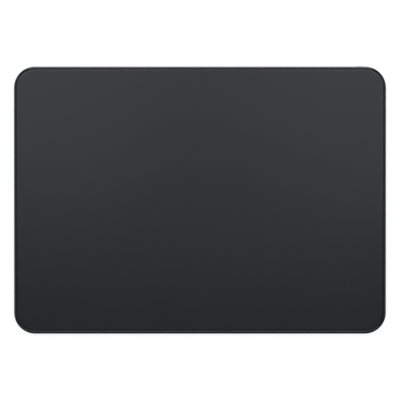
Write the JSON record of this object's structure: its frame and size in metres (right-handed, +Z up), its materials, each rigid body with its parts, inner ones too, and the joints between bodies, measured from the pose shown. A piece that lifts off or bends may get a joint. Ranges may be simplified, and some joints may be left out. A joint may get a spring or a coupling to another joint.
{
  "type": "trackpad",
  "caption": "Low wedge-shaped desktop trackpad: dark matte glass in a thin metal frame, with force sensing, a haptic motor, a charging port and a slide switch at the back.",
  "frame": {"origin": "on the desk under the feet, below the middle of the frame in plan", "axes": "+X to the right, +Y to the back, +Z up; the touch surface slopes down to the front"},
  "size_m": [0.16, 0.1153, 0.0109],
  "materials": {
    "anodised_black": "fine bead-blasted, anodised",
    "base_grey": "fine matte anodised",
    "rubber": "matte",
    "screw_steel": "plain",
    "spring_steel": "rolled",
    "sheet_steel": "plated",
    "button_steel": "plain",
    "gel": "soft gel",
    "gauge": "film",
    "cell_foil": "laminated foil",
    "circuit_board": "solder mask",
    "ribbon": "polyimide film",
    "chip": "moulded",
    "connector": "moulded",
    "core_iron": "laminated",
    "copper": "enamelled wire",
    "black_plastic": "moulded",
    "green_plastic": "moulded",
    "antenna_metal": "plated",
    "cover_glass": "dark, matte etched",
    "bond": "adhesive film",
    "carrier": "milled"
  },
  "bodies": {
    "frame": {"housing": "anodised_black", "base_plate": "base_grey", "foot_front_left": "rubber", "foot_front_right": "rubber", "foot_rear_left": "rubber", "foot_rear_right": "rubber", "base_screws": "screw_steel", "flexure_screws": "screw_steel", "board_screws": "screw_steel", "haptic_screws": "screw_steel", "port_screws": "screw_steel", "switch_screws": "screw_steel", "flexure_front_left": "spring_steel", "flexure_front_right": "spring_steel", "flexure_rear_left": "spring_steel", "flexure_rear_right": "spring_steel", "wireless_shield": "sheet_steel", "haptic_bracket": "sheet_steel", "port_shell": "sheet_steel", "port_strap": "sheet_steel", "strain_gauges": "gauge", "battery_cell": "cell_foil", "battery_board": "circuit_board", "main_board": "circuit_board", "port_board": "circuit_board", "switch_board": "circuit_board", "battery_lead": "ribbon", "haptic_lead": "ribbon", "port_ribbon": "ribbon", "switch_ribbon": "ribbon", "touch_ribbon": "ribbon", "gauge_ribbon_left": "ribbon", "gauge_ribbon_right": "ribbon", "board_chips": "chip", "board_connectors": "connector", "haptic_core_left": "core_iron", "haptic_core_right": "core_iron", "haptic_coil_left": "copper", "haptic_coil_right": "copper", "port_tongue": "black_plastic", "antenna_holder": "black_plastic", "switch_case": "black_plastic", "switch_mark": "green_plastic", "antenna_strip": "antenna_metal"},
    "load_buttons": {"load_button_front_left": "button_steel", "load_button_front_right": "button_steel", "load_button_rear_left": "button_steel", "load_button_rear_right": "button_steel"},
    "touch_module": {"cover_glass": "cover_glass", "bond_film": "bond", "touch_board": "circuit_board", "touch_chips": "chip", "touch_plug": "connector", "carrier_plate": "carrier", "haptic_armature": "core_iron", "gel_pad_front_left": "gel", "gel_pad_front_right": "gel", "gel_pad_rear_left": "gel", "gel_pad_rear_right": "gel"},
    "power_slider": {"power_slider": "black_plastic"}
  },
  "joints": [
    {"name": "press", "type": "slide", "parent": "frame", "child": "load_buttons", "axis": [0, 0.0521, -0.9986], "range_m": [0, 0.00025], "stiffness_N_per_m": 12000, "deforming": ["flexure_front_left", "flexure_front_right", "flexure_rear_left", "flexure_rear_right", "touch_ribbon"]},
    {"name": "haptic_shake", "type": "slide", "parent": "load_buttons", "child": "touch_module", "axis": [1, 0, 0], "range_m": [-0.0001, 0.0001], "stiffness_N_per_m": 8000},
    {"name": "power_slide", "type": "slide", "parent": "frame", "child": "power_slider", "axis": [-1, 0, 0], "range_m": [0, 0.002]}
  ]
}
